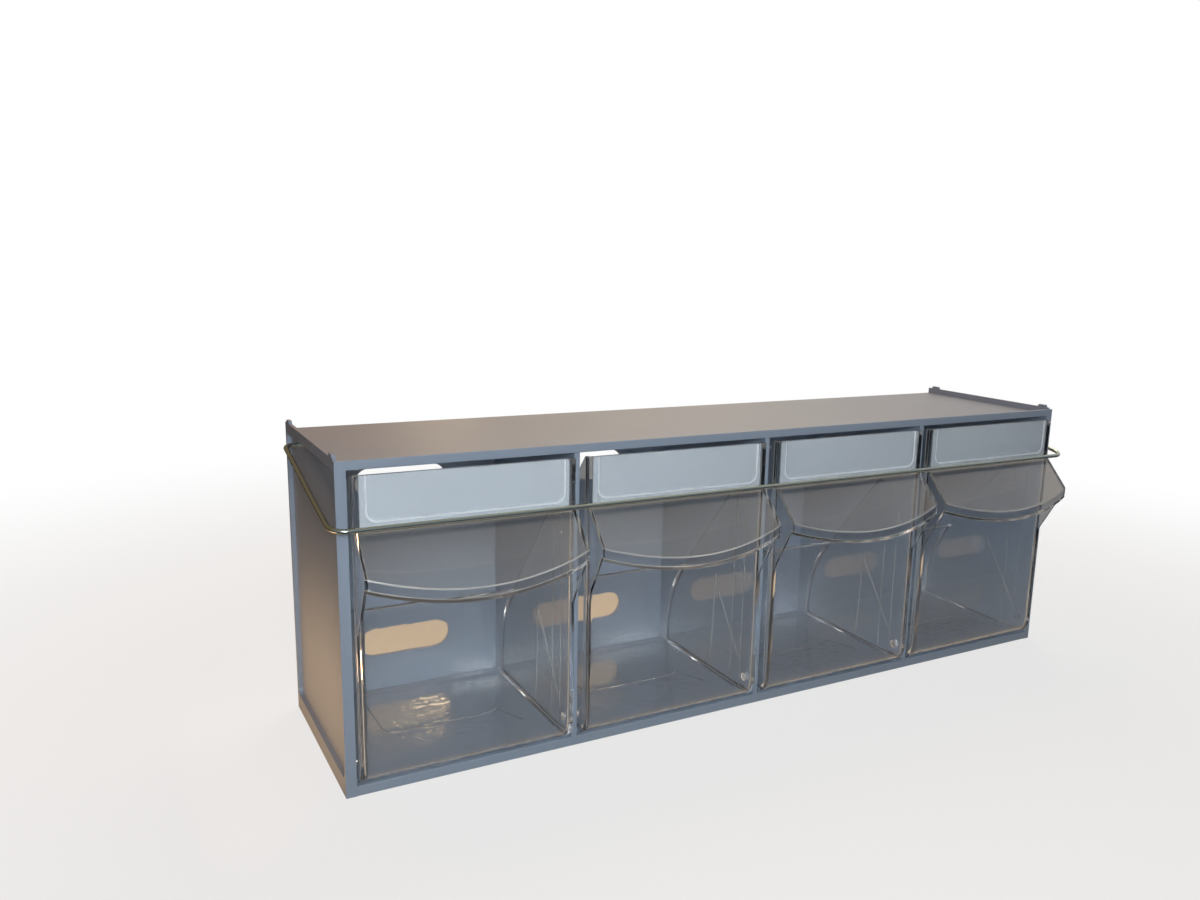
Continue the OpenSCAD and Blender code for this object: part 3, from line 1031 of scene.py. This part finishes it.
@dataclass(frozen=True)
class TiltBin:
    """A clear tip-out bin with a bowed finger pull, a card pocket and a quilted floor.

    It is modelled once, centred on X = 0, and copied to the four cells.
    """

    lines: Layout
    finish: bpy.types.Material
    # A pale frosted copy of the clear plastic: the rims' painted glow.
    rim_glow_paint: bpy.types.Material
    # A whiter frosted copy of the clear plastic: the label window border's painted highlight.
    border_highlight_paint: bpy.types.Material
    width: float = 139.8
    front: float = -78.0
    underside: float = 7.0
    top: float = 199.0
    wall: float = 2.0
    corner_r: float = 13.206
    corner_start: float = 15.0
    curve_centre: tuple[float, float] = (-49.6, 16.6)
    curve_r: float = 100.0
    curve_top: float = 42.0
    # How far the form of the hollow reaches past the bin, so that it opens the bin's top.
    hollow_rise: float = 60.0
    edge_r: float = 0.45
    side_r: float = 2.4
    inner_side_r: float = 3.2
    heel_r: float = 4.0
    # The pocket's block reaches below the card by its floor, and stops short of the bin's rim by its drop.
    pocket_depth: float = 4.5
    pocket_floor: float = 2.0
    pocket_drop: float = 0.2
    pocket_edge_r: float = 0.6
    card_width: float = 131.0
    card_height: float = 33.0
    card_gap: tuple[float, float] = (-75.8, -75.0)
    card_end_gap: float = 0.4
    # The window's border on the card, and how much broader it is below it.
    window_border: float = 4.0
    window_foot: float = 2.0
    window_depth: float = 0.6
    window_slope: float = 1.0
    window_r: float = 6.0
    # The floor's slopes: their ends, how far they stay off the side walls, and how deep they are rooted.
    floor_ends: tuple[float, float] = (-66.0, 47.0)
    floor_gap: float = 0.1
    floor_root: float = 0.15
    pad_size: tuple[float, float] = (80.0, 60.0)
    pad_front: float = -19.0
    pad_r: float = 10.0
    # The slopes rise to the pad's height, and the pad stands above them by its step.
    pad_height: float = 0.8
    pad_step: float = 0.7
    pad_root: float = 0.5
    pad_edge_r: float = 0.5
    # The rims' painted glow goes on narrow faces up to this width, above rim_foot, and not on low faces
    # behind rim_back.
    rim_width: float = 1.2
    rim_foot: float = 25.0
    rim_back: float = -15.0
    # The ribs on the side walls, and how deep they are rooted in the plastic.
    rib_width: float = 0.8
    rib_height: float = 0.35
    rib_root: float = 0.5
    rib_edge_r: float = 0.25
    rib_foot: float = -18.0
    rib_head: float = -22.0
    rib_top: float = 88.0
    rail_places: tuple[float, ...] = (-59.0, -46.0)
    rail_top: float = 160.0
    brace_height: float = 0.3
    brace_foot: float = -57.0
    brace_low: float = 31.0
    brace_top: float = 81.0
    # The floor's ridges, which spread and fall from the pad to the front.
    ridge_inset: float = 3.5
    ridge_spread: float = 13.0
    ridge_front: float = -37.0
    ridge_back: float = -8.0
    ridge_height: float = 1.15
    ridge_fall: float = 0.3
    ridge_root: float = 0.4
    pull_inset: float = 0.5
    pull_root: float = 168.0
    pull_slope: float = 46.3
    pull_reach: float = 22.0
    pull_bow: float = 10.0
    pull_lip: float = 8.5
    # How far the pull's blocks reach below and above its root before they are cut off.
    pull_span: tuple[float, float] = (80.0, 9.0)
    web_height: float = 64.0
    seat_r: float = 3.02

    def build(self) -> None:
        """Make the first bin, copy it to the other cells and hand them all in."""
        first = self.mould()
        centres = self.lines.bin_centres
        for number, centre in enumerate(centres, 1):
            piece = copy_of(first, f"bin_moulding_{number}", centre)
            hand_in(piece, self.finish, f"bin_{number}", "bin_clear", f"bin_{number}")
            # The rims get a painted glow, in a pale frosted copy of the clear plastic.
            finish_faces(piece, self.rim_glow_paint, self.is_rim, widest=self.rim_width)
            # The label window's sloping border gets a painted highlight, in a whiter frosted copy of the
            # clear plastic.
            finish_faces(piece, self.border_highlight_paint, self.is_window_border)
        bpy.data.objects.remove(first)

    def is_rim(self, at: Vector, way: Vector) -> bool:
        """Tell whether a narrow face is on a rim, and not where an upright edge or the back is rounded.

        Args:
            at: The face's centre in millimetres.
            way: The face's normal.

        Returns:
            Whether it gets the rims' painted glow.
        """
        rounded_edge = abs(way.z) < 0.1 and 0.05 < abs(way.x) < 0.98
        low_at_back = at.y >= self.rim_back and at.z <= self.brace_top
        return at.z > self.rim_foot and not low_at_back and not rounded_edge

    def is_window_border(self, at: Vector, way: Vector) -> bool:
        """Tell whether a face is on the sloping border of the label window.

        Args:
            at: The face's centre in millimetres.
            way: The face's normal.

        Returns:
            Whether it gets the border's painted highlight.
        """
        aside = min(abs(at.x - centre) for centre in self.lines.bin_centres)
        in_window = aside < self.card_width / 2 and self.top - self.card_height < at.z < self.top - 1
        return in_window and -0.98 < way.y < -0.2 and at.y < self.front + self.window_depth

    def mould(self) -> bpy.types.Object:
        """Put together one bin from its shell, pull, pocket and floor.

        Returns:
            The finished bin, centred on X = 0.
        """
        piece = self.shell()
        combine(piece, self.pocket(), Joinery.JOIN)
        combine(piece, self.pull(), Joinery.JOIN)
        combine(piece, self.quilted_floor(), Joinery.JOIN)
        combine(piece, self.raised_pad(), Joinery.JOIN)
        for rib in (*self.side_ribs(), *self.floor_ridges()):
            combine(piece, rib, Joinery.JOIN)
        combine(piece, self.card_slot(), Joinery.TAKE_AWAY)
        combine(piece, self.label_window(), Joinery.TAKE_AWAY)
        seat = start_drum("pin_seat", self.seat_r, -self.width, self.width, self.lines.pivot, 32)
        combine(piece, seat, Joinery.TAKE_AWAY)
        return piece

    def shell(self) -> bpy.types.Object:
        """Shape the open bin: its outer form less its hollow.

        Returns:
            The shell, without its fittings.
        """
        piece = self.tub("bin_shell", 0, self.top)
        hollow = self.tub("bin_hollow", self.wall, self.top + self.hollow_rise)
        combine(piece, hollow, Joinery.TAKE_AWAY)
        return piece

    def tub(self, name: str, inset: float, top: float) -> bpy.types.Object:
        """Draw a sheet from the front down, round and up the back, then close its top and sides.

        Args:
            name: The form's name.
            inset: How far it lies inside the bin's outer faces.
            top: The height of its front. The form of the hollow stands well above the bin.

        Returns:
            The closed form.
        """
        pivot_y, pivot_z = self.lines.pivot
        half, front, floor = self.width / 2 - inset, self.front + inset, self.underside + inset
        corner_r, curve_r = self.corner_r - inset, self.curve_r - inset
        start = math.radians(self.corner_start)
        corner_y = pivot_y - corner_r * math.cos(start)
        corner_z = pivot_z - corner_r * math.sin(start)
        front_foot = corner_z + (corner_y - front) / math.tan(start)
        corner_stop = math.asin((pivot_z - floor) / corner_r)
        corner_end = pivot_y - corner_r * math.cos(corner_stop)
        curve_y, curve_z = self.curve_centre
        curve_low = math.asin((curve_z - floor) / curve_r)
        floor_end = curve_y + curve_r * math.cos(curve_low)
        rise = math.radians(self.curve_top)
        deselect()
        bpy.ops.mesh.primitive_plane_add(size=1.0, location=mm(0, front, (top + front_foot) / 2),
                                         rotation=(math.pi / 2, 0, 0))
        bpy.context.object.scale = (2 * half * MM, (top - front_foot) * MM, 1)
        piece = settle(name)
        with shaping(piece):
            pick_edges(lambda at, way: near(at.z, top) and abs(way.x) > 0.9)
            draw_out(0, self.pocket_depth, 0)
            pick_edges(lambda at, way: near(at.z, front_foot) and abs(way.x) > 0.9)
            draw_out(0, corner_y - front, corner_z - front_foot)
            turn_out(8, math.degrees(corner_stop) - self.corner_start, (0, pivot_y, pivot_z), (1, 0, 0))
            draw_out(0, floor_end - corner_end, 0)
            turn_out(20, math.degrees(curve_low) + self.curve_top, (0, curve_y, curve_z), (1, 0, 0))
            if inset:
                draw_out(0, self.hollow_rise * math.cos(rise), self.hollow_rise * math.sin(rise))
            back_y = max(corner.co.y for corner in bmesh.from_edit_mesh(piece.data).verts
                         if corner.select) / MM
            pick_edges(lambda at, way: abs(way.x) > 0.9 and (
                near(at.y, front + self.pocket_depth) and near(at.z, top)
                or near(at.y, back_y) and at.z > curve_z + 20))
            bpy.ops.mesh.edge_face_add()
            for side in (-1, 1):
                pick_corners(lambda at: near(at.x, side * half))
                bpy.ops.mesh.edge_face_add()
        face_outwards(piece)
        with shaping(piece):
            pick_edges(lambda at, way: abs(way.x) > 0.9 and near(at.y, floor_end) and near(at.z, floor))
            round_off(self.heel_r - 0.3 * inset, 6)
            pick_edges(lambda at, way: near(abs(at.x), half) and abs(way.x) < 0.1
                       and (near(at.y, front) or at.y > 0 or at.z < pivot_z))
            round_off(self.inner_side_r if inset else self.side_r, 5)
        soften(piece, self.edge_r, 2, 50.0)
        return piece

    def bowed_block(self, name: str, inset: float, drop: float) -> bpy.types.Object:
        """Shape a block with the pull's bowed front, cut off along the slope of its hood.

        Args:
            name: The block's name.
            inset: How far its front and ends lie inside the pull's outer faces.
            drop: How far its slope lies below the hood's outer face, measured upright.

        Returns:
            The block, which reaches well below the pull.
        """
        half = self.width / 2 - self.pull_inset
        bow_r = (half ** 2 + self.pull_bow ** 2) / (2 * self.pull_bow)
        bow_y = self.front - self.pull_reach - self.pull_bow + bow_r
        radius, end = bow_r - inset, half - inset
        swing = 2 * math.degrees(math.asin(end / radius))
        # It is rooted inside the bin's front wall, and its hollow a little deeper.
        root = self.front + 0.75 * self.wall + inset / 4
        low, high = self.pull_root - self.pull_span[0], self.pull_root + self.pull_span[1]
        slope = math.radians(self.pull_slope)
        deselect()
        bpy.ops.mesh.primitive_plane_add(size=1.0, rotation=(math.pi / 2, 0, 0),
                                         location=mm(-end, bow_y - math.sqrt(radius ** 2 - end ** 2),
                                                     (low + high) / 2))
        bpy.context.object.scale = mm(1, high - low, 1)
        piece = settle(name)
        with shaping(piece):
            bpy.ops.mesh.select_all(action="SELECT")
            bpy.ops.transform.resize(value=(0, 1, 1), center_override=mm(-end, 0, 0))
            bpy.ops.mesh.remove_doubles(threshold=0.01 * MM)
            bpy.ops.mesh.select_all(action="SELECT")
            turn_out(26, swing, (0, bow_y, 0), (0, 0, 1))
            bpy.ops.mesh.select_all(action="SELECT")
            draw_out(0, -2 * self.pull_reach, 0)
            bpy.ops.transform.resize(value=(1, 0, 1), center_override=mm(0, root, 0))
        face_outwards(piece)
        with shaping(piece):
            slice_through((0, self.front, self.pull_root - drop), (0, -math.sin(slope), math.cos(slope)),
                          trim=True)
        return piece

    def pull(self) -> bpy.types.Object:
        """Shape the pull: a sloping hood, its bowed front lip and a web at each end.

        Returns:
            The piece.
        """
        slope = math.radians(self.pull_slope)
        web_depth = self.pull_reach - self.wall
        web_lean = math.atan2(web_depth, self.web_height - web_depth * math.tan(slope) - self.pull_lip)
        piece = self.bowed_block("bin_pull", 0, 0)
        with shaping(piece):
            slice_through((0, self.front, self.pull_root - self.pull_lip),
                          (0, math.sin(slope), -math.cos(slope)), trim=True)
        webs = self.bowed_block("pull_webs", 0, 0)
        with shaping(webs):
            slice_through((0, self.front - web_depth, 0), (0, -1, 0), trim=True)
            slice_through((0, self.front, self.pull_root - self.web_height),
                          (0, -math.cos(web_lean), -math.sin(web_lean)), trim=True)
        combine(piece, webs, Joinery.JOIN)
        hollow = self.bowed_block("pull_hollow", self.wall, self.wall / math.cos(slope))
        combine(piece, hollow, Joinery.TAKE_AWAY)
        soften(piece, self.edge_r, 2, 35.0)
        return piece

    def pocket(self) -> bpy.types.Object:
        """Shape the block behind the front that holds the label card.

        Returns:
            The piece.
        """
        half = self.width / 2 - self.wall / 2
        low, back = self.top - self.card_height - self.pocket_floor, self.front + self.pocket_depth
        piece = start_block("card_pocket", (-half, self.front + self.wall / 2, low),
                            (half, back, self.top - self.pocket_drop))
        with shaping(piece):
            pick_edges(lambda at, way: abs(way.x) > 0.9 and near(at.y, back))
            round_off(self.pocket_edge_r, 2)
        return piece

    def card_slot(self) -> bpy.types.Object:
        """Shape the slot that the card slides into."""
        half = self.card_width / 2 + self.card_end_gap
        return start_block("card_slot", (-half, self.card_gap[0], self.top - self.card_height),
                           (half, self.card_gap[1], self.top + OVERCUT))

    def label_window(self) -> bpy.types.Object:
        """Shape the shallow sunk window in front of the card, with chamfered round-cornered sides.

        Returns:
            The form to take away.
        """
        half = self.card_width / 2 - self.window_border
        foot = self.top - self.card_height + self.window_border + self.window_foot
        head = self.top + OVERCUT
        piece = start_block("label_window", (-half, self.front - SHORT_OVERCUT, foot),
                            (half, self.front + self.window_depth, head))
        with shaping(piece):
            pick_edges(lambda at, way: abs(way.y) > 0.9 and near(at.z, foot))
            round_off(self.window_r, 6)
            pick_faces(lambda at, way: way.y < -0.9)
            grow = self.window_slope * (SHORT_OVERCUT + self.window_depth) / self.window_depth
            bpy.ops.transform.resize(value=(1 + grow / half, 1, 1 + grow / (head - foot)),
                                     center_override=mm(0, 0, head))
        return piece

    def side_ribs(self) -> Iterator[bpy.types.Object]:
        """Shape the fine ribs that brace each side wall, three upright and one aslant.

        Yields:
            Each rib.
        """
        face = self.width / 2 - self.wall
        base = self.underside + self.wall - self.rib_root
        for side in (-1, 1):
            for foot, head, low, high, height in (
                    (self.rib_foot, self.rib_head, base, self.rib_top, self.rib_height),
                    *((place, place, base, self.rail_top, self.rib_height) for place in self.rail_places),
                    (self.brace_foot, self.rib_head, self.brace_low, self.brace_top, self.brace_height)):
                near_x, far_x = sorted((side * (face + self.rib_root), side * (face - height)))
                rib = start_block("side_rib", (near_x, foot - self.rib_width / 2, low),
                                  (far_x, foot + self.rib_width / 2, high))
                with shaping(rib):
                    pick_edges(lambda at, way: abs(way.z) > 0.9)
                    round_off(self.rib_edge_r, 2)
                    pick_faces(lambda at, way: way.z > 0.9)
                    bpy.ops.transform.translate(value=mm(0, head - foot, 0))
                yield rib

    def floor_ridges(self) -> Iterator[bpy.types.Object]:
        """Shape the two fine ridges that run from the pad to the floor's front corners.

        Yields:
            Each ridge.
        """
        base = self.underside + self.wall
        start = self.pad_size[0] / 2 - self.ridge_inset
        half = self.rib_width / 2
        for side in (-1, 1):
            ridge = start_block("floor_ridge",
                                (side * start - half, self.ridge_front, base - self.ridge_root),
                                (side * start + half, self.ridge_back, base + self.ridge_height))
            with shaping(ridge):
                pick_faces(lambda at, way: way.y < -0.9)
                bpy.ops.transform.translate(value=mm(side * self.ridge_spread, 0, -self.ridge_fall))
            yield ridge

    def quilted_floor(self) -> bpy.types.Object:
        """Shape the floor's four shallow slopes, which rise to the pad.

        Returns:
            The piece.
        """
        half = self.width / 2 - self.wall - self.floor_gap
        low, high = self.floor_ends
        base = self.underside + self.wall
        piece = start_block("floor_slopes", (-half, low, base - self.floor_root),
                            (half, high, base + self.pad_height))
        pad_middle = self.pad_front + self.pad_size[1] / 2
        shrink = (self.pad_size[0] / 2 / half, self.pad_size[1] / (high - low), 1)
        with shaping(piece):
            pick_faces(lambda at, way: way.z > 0.9)
            bpy.ops.transform.resize(value=shrink, center_override=mm(0, (low + high) / 2, 0))
            bpy.ops.transform.translate(value=mm(0, pad_middle - (low + high) / 2, 0))
        return piece

    def raised_pad(self) -> bpy.types.Object:
        """Shape the round-cornered pad in the middle of the floor.

        Returns:
            The piece.
        """
        half_x, depth = self.pad_size[0] / 2, self.pad_size[1]
        base = self.underside + self.wall
        piece = start_block("floor_pad", (-half_x, self.pad_front, base - self.pad_root),
                            (half_x, self.pad_front + depth, base + self.pad_height + self.pad_step))
        with shaping(piece):
            pick_edges(lambda at, way: abs(way.z) > 0.9)
            round_off(self.pad_r, 8)
            pick_edges(lambda at, way: abs(way.z) < 0.1 and at.z > base + 1)
            round_off(self.pad_edge_r, 3)
        return piece


@dataclass(frozen=True)
class PivotPins:
    """The pairs of hollow stub pins that the bins tip on."""

    lines: Layout
    finish: bpy.types.Material
    radius: float = 3.0
    bore: float = 1.5
    bore_depth: float = 3.0
    edge_r: float = 0.25
    inner_end: float = 67.9
    outer_ends: tuple[float, ...] = (72.95, 74.4, 74.4, 72.95)

    def build(self) -> None:
        """Make each bin's two pins."""
        for number, (centre, end) in enumerate(zip(self.lines.bin_centres, self.outer_ends), 1):
            left = self.pin(f"pivot_stubs_{number}", -end, -self.inner_end)
            right = self.pin("other_pin", self.inner_end, end)
            choose(left)
            right.select_set(True)
            bpy.ops.object.join()
            left.location.x = centre * MM
            settle(left.name)
            hand_in(left, self.finish, f"bin_{number}", "bin_clear", f"pivot_pins_{number}")

    def pin(self, name: str, low: float, high: float) -> bpy.types.Object:
        """Shape one pin: a stub whose inner end is bored and whose rims are rounded.

        Args:
            name: The pin's name.
            low: Where it begins along X, in millimetres.
            high: Where it ends along X.

        Returns:
            The pin.
        """
        piece = start_drum(name, self.radius, low, high, self.lines.pivot, 28)
        side = 1 if low > 0 else -1
        with shaping(piece):
            pick_faces(lambda at, way: way.x * side < -0.9)
            bpy.ops.mesh.inset(thickness=(self.radius - self.bore) * MM, depth=0)
            draw_out(side * self.bore_depth, 0, 0)
            pick_edges(lambda at, way: abs(way.x) < 0.1 and (near(at.x, low) or near(at.x, high)))
            round_off(self.edge_r, 2)
        return piece


@dataclass(frozen=True)
class LabelCards:
    """The blank cards in the bins' pockets."""

    lines: Layout
    finish: bpy.types.Material
    half_width: float = 65.5
    front: float = -75.7
    thickness: float = 0.6
    low: float = 166.0
    high: float = 199.0
    corner_r: float = 1.5

    def build(self) -> None:
        """Shape one card with rounded corners, and copy it to the four bins."""
        first = start_block("card", (-self.half_width, self.front, self.low),
                            (self.half_width, self.front + self.thickness, self.high))
        with shaping(first):
            pick_edges(lambda at, way: abs(way.y) > 0.9)
            round_off(self.corner_r, 5)
        for number, centre in enumerate(self.lines.bin_centres, 1):
            piece = copy_of(first, f"blank_card_{number}", centre)
            hand_in(piece, self.finish, f"bin_{number}", "label_card", f"label_card_{number}")
        bpy.data.objects.remove(first)


# --- The locking bar -------------------------------------------------------------------


@dataclass(frozen=True)
class LockingBar:
    """The bent wire that swings down in front of the bins."""

    lines: Layout
    finish: bpy.types.Material
    wire_r: float = 1.6
    wire_end: float = 292.5
    arm: float = 305.5
    front_bend: float = 10.0
    rear_bend: float = 5.0
    end_edge_r: float = 0.3
    front: tuple[float, float] = (-83.6, 169.0)

    def build(self) -> None:
        """Draw the wire out from end to end, lying flat, then turn it to its place."""
        pivot_y, pivot_z = self.lines.bar_pivot
        front_y, front_z = self.front
        reach = math.hypot(pivot_y - front_y, pivot_z - front_z)
        rear, fore = self.rear_bend, self.front_bend
        hook = self.arm - rear - self.wire_end
        deselect()
        bpy.ops.mesh.primitive_circle_add(vertices=20, radius=self.wire_r * MM, fill_type="NGON",
                                          location=mm(self.wire_end, reach, 0),
                                          rotation=(0, math.pi / 2, 0))
        piece = settle("wire_bar")
        with shaping(piece):
            bpy.ops.mesh.select_all(action="SELECT")
            draw_out(hook, 0, 0)
            turn_out(8, -90, (self.arm - rear, reach - rear, 0), (0, 0, 1))
            draw_out(0, rear + fore - reach, 0)
            turn_out(12, -90, (self.arm - fore, fore, 0), (0, 0, 1))
            draw_out(2 * (fore - self.arm), 0, 0)
            turn_out(12, -90, (fore - self.arm, fore, 0), (0, 0, 1))
            draw_out(0, reach - rear - fore, 0)
            turn_out(8, -90, (rear - self.arm, reach - rear, 0), (0, 0, 1))
            draw_out(hook, 0, 0)
        face_outwards(piece)
        with shaping(piece):
            pick_edges(lambda at, way: near(abs(at.x), self.wire_end) and abs(way.x) < 0.1)
            round_off(self.end_edge_r, 2)
        piece.rotation_euler.x = math.atan2(pivot_z - front_z, pivot_y - front_y)
        piece.location = mm(0, front_y, front_z)
        choose(piece)
        settle(piece.name)
        hand_in(piece, self.finish, "locking_bar", "wire", "locking_bar")


def main() -> None:
    """Build the studio and the cabinet, and report each piece."""
    logging.basicConfig(level=logging.INFO, format="%(name)s: %(message)s")
    Studio().set_up()
    lines = Layout()
    clear = ClearStyrene().make()
    # Rims and rounded edges get a pale frosted copy of the clear plastic: a painted glow that stands for
    # the light the walls pipe to them.
    rims = ClearStyrene("clear_styrene_painted_rim_glow", roughness=0.2, frost=0.5, colour="#d2d0ca").make()
    Housing(lines, MouldedStyrene().make()).build()
    # The label windows' sloping borders get a whiter frosted copy of the clear plastic: a painted
    # highlight, so that they stand out white.
    border = ClearStyrene("clear_styrene_painted_window_highlight", roughness=0.3, frost=0.7, colour="#f2f4f6").make()
    TiltBin(lines, clear, rims, border).build()
    PivotPins(lines, clear).build()
    LabelCards(lines, CardStock().make()).build()
    LockingBar(lines, ZincWire().make()).build()


if __name__ == "__main__":
    main()
